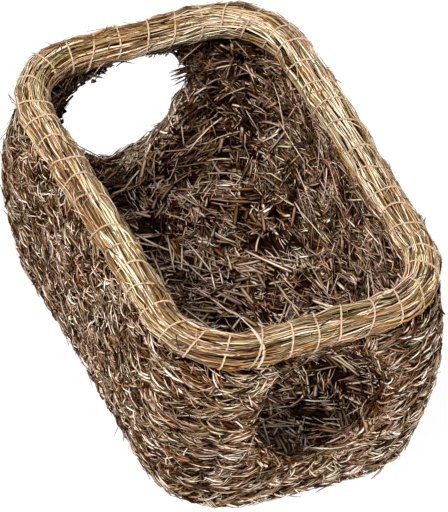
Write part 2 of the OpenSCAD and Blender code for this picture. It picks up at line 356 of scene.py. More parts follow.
class Sheaf:
    """Collects flat closed blades and makes one mesh of them."""

    def __init__(self, name):
        self.name = name
        self.parts = []
        self.count = 0

    def lay(self, blades, tip=0.3, finish=FACE):
        """Adds blades: path and across are (n, k, 3), the other values columns or single numbers."""
        path = blades.path
        if len(path) == 0:
            return
        side, face = sides_of(path, blades.across)
        taper = tip + (1 - tip) * (1 - np.abs(linspace(-1, 1, path.shape[1])) ** 3)
        wide = side * (blades.width * taper / 2)[..., None]
        deep = face * (blades.thick * np.sqrt(taper) / 2)[..., None]
        ring = np.stack([path + wide, path + deep, path - wide, path - deep], 2)
        ring[..., 2] = maximum(ring[..., 2], 0)
        self.add_rings(ring, blades.shade, blades.hue, finish)

    def add_rings(self, ring, shade, hue, finish=FACE):
        """Adds closed tubes from rings of points, (n, k, sides, 3), with a cap at each end."""
        n, k, sides, _ = ring.shape
        seg, j = np.meshgrid(np.arange(k - 1), np.arange(sides), indexing="ij")
        after = (j + 1) % sides
        rows = [seg * sides + j, seg * sides + after, (seg + 1) * sides + after, (seg + 1) * sides + j]
        quads = np.stack(rows, -1).reshape(-1, 4)
        span = 1 - 2 * CELL_EDGE
        u = CELL_EDGE + span * np.stack([j, j + 1, j + 1, j], -1) / sides
        v = CELL_EDGE + span * np.stack([seg, seg, seg + 1, seg + 1], -1) / (k - 1)
        tile = np.stack([u, v], -1).reshape(-1, 4, 2)
        cap_quads, cap_tile = self.caps(k, sides)
        quads = np.concatenate([quads, cap_quads])
        tile = np.concatenate([tile, cap_tile])
        tones = np.stack([np.broadcast_to(tone, (n, 1)) for tone in (shade, hue)], -1)
        cell = clip((tones * CELLS).astype(int), 0, CELLS - 1)[:, :, None]
        maps = ((tile + cell) / CELLS).reshape(-1, 2).astype(np.float32)
        start = self.count + np.arange(n)[:, None, None] * (k * sides)
        faces = (quads + start).reshape(-1, 4).astype(np.int32)
        finishes = np.full(n * len(quads), finish, dtype=np.int32)
        self.parts.append((ring.reshape(-1, 3).astype(np.float32), faces, maps, finishes))
        self.count += n * k * sides

    @staticmethod
    def caps(k, sides):
        """Quads that close both ends of a tube with an even number of sides, and their map."""
        quads = []
        tile = []
        for ring, place in ((0, 0.01), (k - 1, 1 - CELL_EDGE)):
            for j in range(sides // 2 - 1):
                quad = [j, j + 1, sides - 2 - j, sides - 1 - j]
                quad = [ring * sides + corner for corner in quad]
                quads.append(quad if ring else quad[::-1])
                tile.append([[0.3, place], [0.7, place], [0.7, place + 0.05], [0.3, place + 0.05]])
        return np.array(quads), np.array(tile)

    def build(self, *materials):
        """Makes the mesh object, with its map for the nodes and the same map for baking."""
        points, faces, maps, finishes = (np.concatenate(part) for part in zip(*self.parts))
        mesh = bpy.data.meshes.new(self.name)
        mesh.vertices.add(len(points))
        mesh.vertices.foreach_set("co", points.ravel())
        mesh.loops.add(faces.size)
        mesh.loops.foreach_set("vertex_index", faces.ravel())
        mesh.polygons.add(len(faces))
        mesh.polygons.foreach_set("loop_start", np.arange(0, faces.size, 4, dtype=np.int32))
        mesh.polygons.foreach_set("use_smooth", np.ones(len(faces), dtype=bool))
        mesh.polygons.foreach_set("material_index", finishes)
        for map_name in ("Straw", "OFBake"):
            layer = mesh.uv_layers.new(name=map_name)
            layer.data.foreach_set("uv", maps.ravel())
        mesh.update(calc_edges=True)
        for material in materials:
            mesh.materials.append(material)
        return add_object(self.name, mesh)


def lay_kind(lay, draw, kind, path, across, kept, place, tone=0.0):
    """Gives straws of one kind to a sheaf's lay, with widths, shades and hues drawn in that order."""
    width = draw.size(kind.width)
    thick = draw.size(kind.thick)
    shade, hue = straw_tones(draw, place, kind.shade + tone, kind, width)
    lay(pick(Blades(path, across, width, thick, shade, hue), kept), kind.tip, kind.finish)


class Tufts:
    """Chopped straw that lies in tufts of like heading and depth, on a plane of two lengths."""

    SIZE = 10

    def __init__(self, source, lots, low, high, swing, kind):
        draw = Draw(source, lots, self.SIZE)
        under = kind is UNDER_TUFTS
        self.draw = draw
        self.kind = kind
        first = draw.group_even(low[0], high[0])
        second = draw.group_even(low[1], high[1])
        turn = swing * grain.at(first, second) + draw.group_bell(0, 0.6)
        self.heading = turn + draw.bell(0, 0.22)
        along = draw.bell(0, 5.0) * MM
        aside = draw.bell(0, 3.0) * MM
        self.first = first + along * cos(turn) - aside * sin(turn)
        self.second = second + along * sin(turn) + aside * cos(turn)
        self.length = draw.size(kind.length)
        depth = 0.65 * draw.group_even(0, 1) + 0.35 * draw.even(0, 1)
        self.depth = depth * (0.25 if under else 1)
        self.width = draw.size(TUFTS.width)
        if under:
            # The first widths are drawn all the same, so that what is drawn later doesn't change
            self.width = draw.size(kind.width)
        self.thick = draw.size(kind.thick)
        self.bow = draw.bell(0, 0.045) * self.length
        self.lean = draw.bell(0, 0.5)
        tone = draw.group_bell(0, 0.10)
        # Sunk straws are darker, painted shade among the straw; the under layer stays dark, painted shade
        # beneath it
        self.shade_mean = kind.shade + (0.4 * tone if under else 0.62 * depth ** 1.2 + tone)
        self.hue_shift = draw.group_bell(0.0, 0.2)

    def lay(self, sheaf, path, across, kept):
        """Gives the straws that are kept to a sheaf."""
        place = (self.first, self.second)
        shade, hue = straw_tones(self.draw, place, self.shade_mean, self.kind, self.width)
        hue = clip(hue + self.hue_shift, *HUES)
        blades = Blades(path, across, self.width, self.thick, shade, hue)
        sheaf.lay(pick(blades, kept), self.kind.tip, self.kind.finish)


# Materials

def link(tree, value, socket):
    """Sets a socket to a number or colour, or links another socket to it."""
    if isinstance(value, (int, float)):
        socket.default_value = value
    elif isinstance(value, tuple):
        socket.default_value = (*value, 1)
    else:
        tree.links.new(value, socket)


def add_node(tree, kind, inputs, **settings):
    """A shader node; its inputs are numbers, colours or the outputs of other nodes."""
    node = tree.nodes.new("ShaderNode" + kind)
    for name, value in settings.items():
        setattr(node, name, value)
    for place, value in inputs.items():
        link(tree, value, node.inputs[place])
    return node


def math_node(tree, operation, first, second=0.0, clamp=False):
    """A Math node on sockets or numbers; returns its output."""
    return add_node(tree, "Math", {0: first, 1: second}, operation=operation, use_clamp=clamp).outputs[0]


def ramp_node(tree, factor, places, colours):
    """A colour ramp with a colour at each place; returns its output."""
    node = add_node(tree, "ValToRGB", {0: factor})
    elements = node.color_ramp.elements
    elements[0].position = places[0]
    elements[0].color = (*colours[0], 1)
    elements[1].position = places[-1]
    elements[1].color = (*colours[-1], 1)
    for place, colour in zip(places[1:-1], colours[1:-1]):
        elements.new(place).color = (*colour, 1)
    return node.outputs[0]


def mix_node(tree, blend, factor, first, second):
    """A colour mix of two sockets or colours; returns its output."""
    inputs = {0: factor, 6: first, 7: second}
    return add_node(tree, "Mix", inputs, data_type="RGBA", blend_type=blend).outputs[2]


# Colours of dry grass by shade, plain, greenish and reddish, and where in the hues these two begin
GRASS_STOPS = (0.0, 0.25, 0.5, 0.75, 1.0)
DRY = [(0.014, 0.003, 0.0006), (0.088, 0.039, 0.016), (0.25, 0.155, 0.088), (0.49, 0.368, 0.258),
       (0.86, 0.76, 0.645)]
OLIVE = [(0.010, 0.004, 0.0008), (0.074, 0.046, 0.017), (0.215, 0.167, 0.088), (0.445, 0.388, 0.258),
         (0.81, 0.78, 0.63)]
RUSSET = [(0.016, 0.003, 0.0006), (0.098, 0.037, 0.017), (0.28, 0.147, 0.084), (0.54, 0.350, 0.248),
          (0.89, 0.74, 0.63)]
OLIVE_FROM = 0.60
RUSSET_BELOW = 0.40
HUE_SLOPE = 2.8

# Light and dark streaks along a straw
STREAK_STOPS = (0.30, 0.50, 0.72)
STREAKS = [(0.50, 0.44, 0.38), (1, 1, 1), (1.3, 1.27, 1.2)]
STREAK_WEIGHT = 0.85
WHITE = (1.0, 1.0, 1.0)


def grass_colour(tree, across, along, rich, golden):
    """Colour of the map's cells: shade by column, hue by row, and some more golden or greyer."""
    calc = partial(math_node, tree)
    column = calc("FLOOR", across)
    row = calc("FLOOR", along)
    shade = calc("DIVIDE", column, CELLS - 1)
    hue = calc("DIVIDE", row, CELLS - 1)
    ramps = (ramp_node(tree, shade, GRASS_STOPS, colours) for colours in (DRY, OLIVE, RUSSET))
    plain, olive, russet = ramps
    to_olive = calc("MULTIPLY", calc("SUBTRACT", hue, OLIVE_FROM), HUE_SLOPE, clamp=True)
    to_russet = calc("MULTIPLY", calc("SUBTRACT", RUSSET_BELOW, hue), HUE_SLOPE, clamp=True)
    colour = mix_node(tree, "MIX", to_olive, plain, olive)
    colour = mix_node(tree, "MIX", to_russet, colour, russet)
    cell = add_node(tree, "CombineXYZ", {0: column, 1: row}).outputs[0]
    chance = add_node(tree, "TexWhiteNoise", {"Vector": cell}, noise_dimensions="2D").outputs["Value"]
    gold = calc("SUBTRACT", calc("MULTIPLY", chance, 2.0), 1.0)
    fade = calc("SUBTRACT", 1.0, calc("MULTIPLY", shade, 0.8))
    less_blue = calc("MULTIPLY", calc("MULTIPLY", gold, fade), 0.6 * golden)
    blue = calc("SUBTRACT", 1.0, less_blue)
    tint = add_node(tree, "CombineColor", {"Red": 1.0, "Green": 1.0, "Blue": blue}).outputs[0]
    colour = mix_node(tree, "MULTIPLY", 1.0, colour, tint)
    vivid = calc("ADD", calc("MULTIPLY", shade, rich[1] - rich[0]), rich[0])
    vivid = calc("ADD", vivid, calc("MULTIPLY", gold, golden))
    return add_node(tree, "HueSaturation", {"Saturation": vivid, "Color": colour}).outputs[0]


def edge_shade_and_tip_colour(tree, across, along, edge_dark):
    """White on the face of a blade, painted shade on its two edges, and dark on its tips."""
    calc = partial(math_node, tree)
    round_blade = calc("SUBTRACT", calc("FRACT", across), CELL_EDGE)
    round_blade = calc("MULTIPLY", round_blade, TURN / (1 - 2 * CELL_EDGE))
    edge = calc("POWER", calc("COSINE", round_blade), 2.0)
    tip = calc("SUBTRACT", calc("FRACT", along), 0.5)
    tip = calc("POWER", calc("MULTIPLY", tip, 2.1), 6.0)
    return mix_node(tree, "MIX", calc("ADD", edge, tip, clamp=True), WHITE, edge_dark)


def straw_material(name, rough, gloss, edge_dark, rich, golden):
    """Dry grass with streaks along each straw, and painted shade on the edges of each blade.

    Rich is the strength of its colour in dark and in pale straw, and golden is how far that varies.
    """
    material = bpy.data.materials.new(name)
    material.use_nodes = True
    tree = material.node_tree
    calc = partial(math_node, tree)
    place = add_node(tree, "UVMap", {}, uv_map="Straw").outputs[0]
    parts = add_node(tree, "SeparateXYZ", {0: place}).outputs
    across = calc("MULTIPLY", parts[0], CELLS)
    along = calc("MULTIPLY", parts[1], CELLS)
    colour = grass_colour(tree, across, along, rich, golden)
    drawn_out = {0: calc("MULTIPLY", across, 9.0), 1: calc("MULTIPLY", along, 1.7)}
    spot = add_node(tree, "CombineXYZ", drawn_out).outputs[0]
    streak = add_node(tree, "TexNoise", {"Scale": 1.0, "Detail": 3.0, "Vector": spot}).outputs[0]
    streak_colour = ramp_node(tree, streak, STREAK_STOPS, STREAKS)
    colour = mix_node(tree, "MULTIPLY", STREAK_WEIGHT, colour, streak_colour)
    # Painted shade on the edges of each blade, and darker tips
    colour = mix_node(tree, "MULTIPLY", 1.0, colour, edge_shade_and_tip_colour(tree, across, along, edge_dark))
    dull = add_node(tree, "MapRange", {"To Min": rough - 0.15, "To Max": rough + 0.15, "Value": streak})
    bump = add_node(tree, "Bump", {"Strength": 0.4, "Distance": 0.4 * MM, "Height": streak})
    shader = tree.nodes["Principled BSDF"]
    link(tree, colour, shader.inputs["Base Color"])
    link(tree, dull.outputs[0], shader.inputs["Roughness"])
    link(tree, gloss, shader.inputs["Specular IOR Level"])
    link(tree, bump.outputs[0], shader.inputs["Normal"])
    return material


plait_straw = straw_material("plait_straw", 0.6, 0.04, (0.20, 0.09, 0.04), (1.22, 0.96), 0.22)
# Straw inside the tub: a copy of the outer straw with less vivid darks, painted shade for the cooler light
# inside, and more golden variety
inner_straw = straw_material("inner_straw", 0.6, 0.04, (0.25, 0.12, 0.065), (1.0, 1.0), 0.28)
rim_straw = straw_material("rim_straw", 0.50, 0.25, (0.28, 0.17, 0.09), (1.1, 1.5), 0.26)
twine_fibre = straw_material("twine_fibre", 0.72, 0.2, (0.75, 0.68, 0.60), (1.05, 1.05), 0.1)
# The cores and the dark under layers take this material: painted shade in the gaps between straws
deep_straw = straw_material("deep_straw", 0.85, 0.0, (0.6, 0.5, 0.4), (0.8, 0.8), 0.1)


def keep(obj, slot, *nodes):
    """The piece rides on the tub and stands for CAD nodes, which it hides. The slot is not used."""
    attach(obj, "root")
    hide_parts(*nodes)


# Wall plait: lobes are the strands that lie on top, in an upper and a lower row of each course
LOBES = 60
LOBE_PITCH = LOOP / LOBES
LOBE_UP = 3.9 * MM
LOBE_WIDE = 5.6 * MM
LOBE_DEEP = 4.4 * MM
LOBE_OUT = 3.8 * MM
LOBE_DIP = 3.4 * MM
LOBE_HALF = 12 * MM
STEEP_LEAN = radians(31)
FLAT_LEAN = radians(17)
FACE_REACH = (0.78, 1.10)
DEEP_REACH = (0.50, 0.80)
CORE_DEPTH = 5.2 * MM
CORE_BACK = 1.0 * MM
CORE_CLEAR = 4.0 * MM
LEAST_HEIGHT = 0.5 * MM
LEAST_SHARE = 0.3

# The floor hides part of the inner side of the lowest courses
BARE_INSIDE = {1: 0.4, 2: 0.76}


def arch(t):
    """0 at the two ends of a straw and 1 in its middle."""
    return sin(pi * t)


def wall_paths(chart, slack, rings):
    """The part of each path outside the end holes: its chart, its points and if it is long enough."""
    fine = 25
    inside = in_hole(wall_point(*chart(linspace(0, 1, fine))[:3]), slack)
    met = inside.any(1)
    first = where(met, inside.argmax(1), fine)
    last = where(met, fine - 1 - inside[:, ::-1].argmax(1), -1)
    use_head = first >= fine - 1 - last
    start = where(use_head, 0, last + 1) / (fine - 1)
    end = where(use_head, clip(first - 1, 0, fine - 1), fine - 1) / (fine - 1)
    charted = chart(start[:, None] + (end - start)[:, None] * linspace(0, 1, rings))
    s, up, out = charted[:3]
    path = wall_point(s, maximum(up, LEAST_HEIGHT), out)
    return charted, path, end - start > LEAST_SHARE


def course_sway(s, height):
    """How far a course lies above its level line; the foot and the rim stay level."""
    turn = TURN * s / LOOP
    free = sin(pi * clip(height / RIM_Z, 0, 1))
    return (1.3 * sin(7 * turn + 25 * height) + 0.9 * sin(12 * turn + 2 - 31 * height)) * MM * free


def outer_painted_light(s, height):
    """Painted light and shade on the straw outside: palest at the foot of the near end, darkest along the
    left side.
    """
    foot = clip(1 - height / (90 * MM), 0, 1)
    return rises(s, (0.05 + 0.12 * foot, 0.05, 0.11), (-0.03, 0.92, 0.06), (-0.03, 0.74, 0.14))


def inner_painted_light(s):
    """Painted light and shade on the straw inside: palest along the right side, where light falls, darkest
    at the far end, which lies in shade.
    """
    return rises(s, (0.15, 0.24, 0.13), (-0.02, 0.5, 0.12))


def rim_painted_light(s):
    """Painted light and shade on the rim: palest along the right side, darker at the far end and darkest
    at the near end.
    """
    return rises(s, (0.08, 0.25, 0.12), (-0.10, 0, 0.10), (-0.05, 0.5, 0.08), (-0.03, 0.75, 0.12))


def strand_lean(s):
    """Slope of the strands: steep on the two ends, flatter on the long sides."""
    _, outward = loop_frame(s)
    return FLAT_LEAN + (STEEP_LEAN - FLAT_LEAN) * outward[..., 0] ** 2


def rough_side(s):
    """1 along the left side, where the strands are hidden under short broken straw."""
    return near_place(s, 0.74, 0.13)


def lay_plait(sheaf, rng, count, span, height, kind):
    """Blades of one course on its outer side, gathered where a strand of the plait lies on top."""
    deep = kind is DEEP_PLAIT
    flip = -1 if int(height / COURSE_PITCH) % 2 else 1
    hand = -1 if span[0] > 0 else 1
    lobes = int(round((span[1] - span[0]) / LOOP * 2 * LOBES))
    draw = Draw(rng, lobes, max(count // lobes, 1))
    lobe = draw.group[:, None]
    row = where(lobe % 2 == 0, flip, -flip)
    crest = span[0] + lobe * LOBE_PITCH / 2 + draw.group_bell(0, 1.8) * MM
    middle = draw.bell(0, 4.0) * MM
    rough = rough_side(crest)
    length = draw.size(kind.length) * (1 - 0.25 * rough)
    spot = draw.even(-0.08 * pi, 1.08 * pi)
    drift = draw.bell(0, 0.4)
    reach = draw.even(*(DEEP_REACH if deep else FACE_REACH))
    lift = maximum(draw.bell(-1.0, 1.0), 0) * (0 if deep else MM)
    lift_end = draw.whole(2)
    roll = draw.bell(0, 0.4)
    bow = draw.bell(0, 0.05) * length
    stray = draw.group_bell(0, 0.26) + draw.bell(0, 0.27)
    slant = row * hand * strand_lean(crest) + stray * (1 + 1.5 * rough)

    def chart(t):
        along = middle + (t - 0.5) * length
        turn = spot + drift * (t - 0.5)
        side = LOBE_WIDE * cos(turn) * reach + bow * arch(t)
        s = crest + along * cos(slant) - side * sin(slant)
        up = height + row * LOBE_UP + along * sin(slant) + side * cos(slant) + course_sway(s, height)
        end = where(lift_end > 0, t, 1 - t)
        out = LOBE_OUT + LOBE_DEEP * sin(turn) * reach - LOBE_DIP * (along / LOBE_HALF) ** 2
        out = out + lift * clip((end - 0.6) / 0.4, 0, 1) ** 2
        return s, up, out, turn + roll

    (s, up, _, turn), path, kept = wall_paths(chart, draw.even(0.0, 4.0) * MM, kind.rings)
    across = wall_vector(s, sin(turn) * sin(slant), -sin(turn) * cos(slant), cos(turn))
    bold = 1 + 0.3 * near_place(crest, 0, 0.14)
    width = draw.size(PLAIT.width) * bold
    if deep:
        # As in Tufts, the first widths are drawn all the same
        width = draw.size(kind.width)
    thick = draw.size(kind.thick)
    # Deep blades stay dark: painted shade under the top layer
    mean = kind.shade
    lobe_tone = draw.group_bell(0, 0.09)
    if not deep:
        # Blades on top are darker the deeper they lie: painted shade between the strands
        mean = mean + 1.5 * (reach - 0.95) + lobe_tone
        # Painted light and shade of the outer wall
        mean = mean - 0.12 * (width / bold / MM - 1.55) + outer_painted_light(crest, height)
    shade, hue = straw_tones(draw, (crest, up[:, 1:2]), mean, kind, width)
    hue = clip(hue + draw.group_bell(0.07, 0.15), *HUES)
    sheaf.lay(pick(Blades(path, across, width, thick, shade, hue), kept), kind.tip)


def lay_core(sheaf, span, height):
    """Dark inside of a course, stopping short of the holes: painted shade that shows in the gaps between
    straws.
    """
    sides = 8
    half = COURSE_PITCH / 2 - 1.2 * MM
    steps = int((span[1] - span[0]) / (6 * MM))
    s = linspace(span[0], span[1], steps)
    x, y, _ = wall_point(s, np.full(steps, height), np.zeros(steps)).T
    turn = np.arctan2(height - HOLE_Z, y)
    clear = CORE_CLEAR + maximum(hole_edge(turn, x < 0), 0)
    arc = np.sqrt(maximum((HOLE_RADIUS + clear) ** 2 - y ** 2, 0))
    low = np.full(steps, max(height - half, LEAST_HEIGHT))
    high = np.full(steps, height + half)
    if height < HOLE_Z:
        high = where(arc > 0, np.minimum(high, HOLE_Z - arc), high)
    else:
        low = where(arc > 0, maximum(low, HOLE_Z + arc), low)
    good = high - low > 3 * MM
    s, low, high = (part[good][:, None] for part in (s, low, high))
    turn = np.arange(sides) * TURN / sides
    up = (low + high) / 2 + (high - low) / 2 * sin(turn)
    out = CORE_DEPTH * cos(turn) - CORE_BACK
    ring = wall_point(np.tile(s, (1, sides)), up, out)
    sheaf.add_rings(ring[None], DARKEST, MIDDLE_HUE, CORE)


def lay_loose(sheaf, rng, count, span, height, kind):
    """Short loose ends on the outside of a course."""
    draw = Draw(rng, count)
    s0 = draw.even(*span)
    up0 = height + draw.even(-0.5, 0.5) * COURSE_PITCH
    length = draw.size(kind.length)
    angle = draw.bell(0, 0.6) * (1 + 0.8 * rough_side(s0)) + draw.whole(2) * pi
    tilt = np.abs(draw.bell(0.0, 0.11)) + 0.5 * (draw.even(0, 1) < 0.012)
    bow = draw.bell(0, 0.05) * length
    base = draw.even(4.0, 6.8) * MM

    def chart(t):
        run = length * (t - 0.3)
        s = s0 + run * cos(angle) * cos(tilt)
        up = up0 + run * sin(angle) * cos(tilt) + bow * arch(t)
        return s, up, base + length * t * sin(tilt)

    (s, _, _), path, kept = wall_paths(chart, draw.even(-4, 1) * MM, kind.rings)
    spin = angle + pi / 2 + draw.bell(0, 0.3)
    across = wall_vector(s, cos(spin), sin(spin), draw.bell(0, 0.5))
    # Painted light and shade of the outer wall
    lay_kind(sheaf.lay, draw, kind, path, across, kept, (s0, up0), outer_painted_light(s0, height))


def inner_depth(s, up):
    """Depth of the wall's inner face: each course bulges towards the inside, with rough clumps."""
    from_middle = (np.mod(up, COURSE_PITCH) - COURSE_HEIGHT / 2) / (COURSE_PITCH / 2)
    return -(8.0 - 3.0 * from_middle ** 2 + 1.5 * clumps.at(s, up)) * MM


def lay_inside(sheaf, rng, lots, span, height, kind):
    """Chopped straw on the inner side of a course."""
    half = 0.5 * COURSE_PITCH
    straw = Tufts(rng, lots, (span[0], height - half), (span[1], height + half), 1.3, kind)
    # Painted light and shade of the inner wall
    straw.shade_mean = straw.shade_mean + inner_painted_light(straw.first)
    angle = straw.heading
    lift = np.abs(straw.draw.bell(0, 2.4)) * MM * straw.depth

    def chart(t):
        run = straw.length * (t - 0.5)
        s = straw.first + run * cos(angle)
        up = straw.second + run * sin(angle) + straw.bow * arch(t)
        out = inner_depth(straw.first, straw.second) + (2.4 - 3.6 * straw.depth) * MM - lift * t ** 1.5
        return s, up, out

    (s, _, _), path, kept = wall_paths(chart, straw.draw.even(-4, 2) * MM, kind.rings)
    spin = angle + pi / 2
    straw.lay(sheaf, path, wall_vector(s, cos(spin), sin(spin), straw.lean), kept)


def lay_stalks(sheaf, rng, count, span, height, kind):
    """Longer stalks or flat flakes that stick out of the inner side of a course."""
    draw = Draw(rng, count)
    s0 = draw.even(*span)
    up0 = height + draw.even(-0.5, 0.5) * COURSE_PITCH
    length = draw.size(kind.length)
    angle = draw.even(0, TURN)
    tilt = np.abs(draw.bell(0.05, 0.12))
    bow = draw.bell(0, 0.018) * length

    def chart(t):
        run = length * (t - 0.5)
        up = maximum(up0 + run * sin(angle) + bow * arch(t), FLOOR_TOP + 2 * MM)
        out = inner_depth(s0, up0) - kind.over - length * t * sin(tilt)
        return s0 + run * cos(angle), up, out

    (s, _, _), path, kept = wall_paths(chart, np.full((count, 1), -2 * MM), kind.rings)
    kept = kept & (path[..., 2] < RIM_BOTTOM).all(1)
    spin = angle + pi / 2
    across = wall_vector(s, cos(spin), sin(spin), draw.bell(0, 0.3))
    lay_kind(sheaf.lay, draw, kind, path, across, kept, (s0, up0))


# Layers of a course: how each is laid, its straws or tufts right round the tub, and their kind
LAYERS = [
    (lay_plait, 720, DEEP_PLAIT),
    (lay_plait, 3000, PLAIT),
    (lay_loose, 1250, LOOSE),
    (lay_inside, 170, UNDER_TUFTS),
    (lay_inside, 340, TUFTS),
    (lay_stalks, 34, STALKS),
    (lay_stalks, 120, FLAKES),
]
sheaves = {}


def fill_course(name, i, span, seed):
    """One length of the wall plait."""
    rng = np.random.default_rng(seed)
    share = (span[1] - span[0]) / LOOP
    height = (i - 1) * COURSE_PITCH + COURSE_HEIGHT / 2
    sheaf = Sheaf(name.replace("course", "plait"))
    lay_core(sheaf, span, height)
    for lay, number, kind in LAYERS:
        bare = BARE_INSIDE.get(i, 1.0) if lay is lay_inside else 1.0
        lay(sheaf, rng, int(number * share * bare), span, height, kind)
    sheaves[name] = sheaf


for i in WHOLE_COURSES:
    fill_course(f"course_{i}", i, (0.0, LOOP), 100 + i)
for i in range(FIRST_SPLIT, COURSES + 1):
    fill_course(f"right_course_{i}", i, (0.0, LOOP / 2), 200 + i)
    fill_course(f"left_course_{i}", i, (LOOP / 2, LOOP), 300 + i)


# Edges of the end holes; the rim closes their top
HOLE_TURNS = (radians(-252), radians(72))
HOLE_STRAW_TOP = RIM_Z - 11 * MM


def hole_point(end, turn, radius, depth):
    """Point near an end hole: round its circle, out from its middle and through the wall."""
    y = radius * cos(turn)
    z = HOLE_Z + radius * sin(turn)
    s = end * LOOP / 2 + where(end == 0, y, -y)
    return wall_point(s, z, depth)


def share_out(blades, tip, finish):
    """Gives each blade at a hole to the course that it lies on."""
    middle = blades.path[:, blades.path.shape[1] // 2]
    course = clip((middle[:, 2] / COURSE_PITCH).astype(int) + 1, FIRST_SPLIT, COURSES)
    for i in range(FIRST_SPLIT, COURSES + 1):
        for side, hand in ((1, "right"), (-1, "left")):
            chosen = (course == i) & (np.sign(middle[:, 1]) == side)
            sheaves[f"{hand}_course_{i}"].lay(pick(blades, chosen), tip, finish)


def lay_at_hole(draw, kind, end, turn0, path, across):
    """Shares out straws at a hole; its lower right edge is paler, painted light, most of all on the far
    end.
    """
    tone = (0.42 if end else 0.10) * np.exp(-((turn0 + 0.95) / 0.75) ** 2)
    kept = (path[..., 2] < HOLE_STRAW_TOP).all(1)
    height = path[:, (kind.rings - 1) // 2, 2:]
    lay_kind(share_out, draw, kind, path, across, kept, (turn0 * HOLE_RADIUS, height), tone)


def lay_hole_lip(end, seed, count):
    """Straw that runs along the edge of a hole and covers the cut ends."""
    draw = Draw(seed, count)
    turn0 = draw.even(*HOLE_TURNS)
    length = draw.size(LIP.length)
    roll = draw.even(0.0, pi)
    grow = draw.even(0.6, 1.15)
    t = linspace(-0.5, 0.5, LIP.rings)
    turn = turn0 + t * length / HOLE_RADIUS
    around = roll + draw.bell(0, 0.5) * t
    inward = 2.6 * MM * sin(around) * grow
    stray = draw.bell(0, 1.9) * MM + draw.bell(0, 5.0) * MM * t
    radius = HOLE_RADIUS + hole_edge(turn, end) + 1.2 * MM - inward + stray
    depth = 4.6 * MM * cos(around) * grow + draw.bell(0, 2.5) * MM * t
    path = hole_point(end, turn, radius, depth)
    nearby = hole_point(end, turn, radius - 1 * MM * cos(around), depth - 2 * MM * sin(around))
    lay_at_hole(draw, LIP, end, turn0, path, nearby - path)


def lay_hole_folds(end, seed, count):
    """Straw folded over the edge of a hole from the outside to the inside."""
    draw = Draw(seed, count)
    turn0 = draw.even(*HOLE_TURNS)
    reach = draw.size(FOLDS.length)
    skew = draw.bell(0.1, 0.26)
    t = linspace(-1, 1, FOLDS.rings)
    bend = clip(np.abs(t) * 2.2, 0, 1)
    turn = turn0 + skew * t
    radius = HOLE_RADIUS + hole_edge(turn, end) - 1.2 * MM + reach * np.abs(t) ** 1.6
    radius = radius + draw.bell(0, 1.2) * MM
    depth = np.sign(t) * 6.0 * MM * sin(bend * pi / 2)
    path = hole_point(end, turn, radius, depth)
    across = hole_point(end, turn + 0.03, radius, depth) - path
    lay_at_hole(draw, FOLDS, end, turn0, path, across)


def lay_tuft(end, turn, seed, count):
    """A few straws that hang from the edge into a hole."""
    rings = 4
    draw = Draw(seed, count)
    t = linspace(0, 1, rings)
    length = draw.even(12, 24) * MM
    fan = draw.bell(0, 0.12) * t
    start = turn + draw.bell(0, 0.07)
    radius = HOLE_RADIUS + 6 * MM - length * t
    depth = draw.even(-4, 3) * MM + draw.bell(0, 3) * MM * t
    path = hole_point(end, start + fan, radius, depth)
    across = hole_point(end, start + fan + 0.03, radius, depth) - path
    width = draw.even(0.8, 2.4) * MM
    thick = draw.even(0.4, 0.7) * MM
    shade = draw.even(0.15, 0.6)
    hue = draw.even(0.3, 0.8)
    share_out(Blades(path, across, width, thick, shade, hue), LIP.tip, LIP.finish)


for end in (0, 1):
    lay_hole_lip(end, 400 + end, 420)
    lay_hole_folds(end, 410 + end, 400)
lay_tuft(1, radians(8), 420, 22)
for node, sheaf in sheaves.items():
    keep(sheaf.build(plait_straw, deep_straw, inner_straw), "plait", node)


# Floor: most straws on it lie near one direction, from +X towards +Y
FLOOR_COMB = radians(14)
# How much paler the floor's straw is: painted light from above
FLOOR_PAINTED_LIGHT = 0.215
FLOOR_SWING = 5.0 * MM
FLOOR_STRAND = 5.6 * MM
FLOOR_PERIOD = 40 * MM
STALK_LOT = 3


def on_floor(x, y, past):
    """True for straws that nowhere reach further past the floor's outline than a distance."""
    dx = np.abs(x) - (FLOOR_HALF_LENGTH - FLOOR_CORNER)
    dy = np.abs(y) - (FLOOR_HALF_WIDTH - FLOOR_CORNER)
    outside = np.hypot(maximum(dx, 0), maximum(dy, 0))
    room = FLOOR_CORNER - where((dx > 0) | (dy > 0), outside, maximum(dx, dy))
    return (room > -past).all(1)


def floor_reach(y, corner):
    """How far the floor reaches along X at a distance y from its middle, by the radius of its corners."""
    past = max(y - (FLOOR_HALF_WIDTH - FLOOR_CORNER), 0)
    return FLOOR_HALF_LENGTH - FLOOR_CORNER + sqrt(max(corner ** 2 - past ** 2, 0))


def floor_line(x0, y0, angle, run, bow):
    """Places along bent straws that lie on the floor."""
    x = x0 + run * cos(angle) - bow * sin(angle)
    y = y0 + run * sin(angle) + bow * cos(angle)
    return x, y


def lay_floor(sheaf, seed, lots, kind):
    """Chopped straw on the upper side of the floor."""
    far = (FLOOR_HALF_LENGTH + 4 * MM, FLOOR_HALF_WIDTH + 4 * MM)
    straw = Tufts(seed, lots, (-far[0], -far[1]), far, 2.6, kind)
    if kind is FLOOR_TUFTS:
        # Painted light from above on the floor, with painted shadow of the walls near the near end and
        # along the left edge
        near_end_shadow = clip((straw.first - 35 * MM) / (25 * MM), 0, 1)
        left_edge_shadow = clip((12 * MM - straw.second) / (30 * MM), 0, 1)
        straw.shade_mean = straw.shade_mean + FLOOR_PAINTED_LIGHT - 0.19 * near_end_shadow - 0.10 * left_edge_shadow
        straw.hue_shift = straw.hue_shift - 0.1
    angle = FLOOR_COMB + 0.8 * (np.mod(straw.heading + pi / 2, pi) - pi / 2)
    lift = np.abs(straw.draw.bell(0, 2.8)) * MM * straw.depth
    t = linspace(0, 1, kind.rings)
    bow = straw.bow * arch(t)
    x, y = floor_line(straw.first, straw.second, angle, straw.length * (t - 0.5), bow)
    z = FLOOR_TOP + (5.0 * straw.depth - 2.8) * MM + lift * t ** 1.4
    across = np.stack([-sin(angle), cos(angle), straw.lean], -1)
    kept = on_floor(x, y, 6 * MM)
    straw.lay(sheaf, np.stack([x, y, z], -1), across, kept)


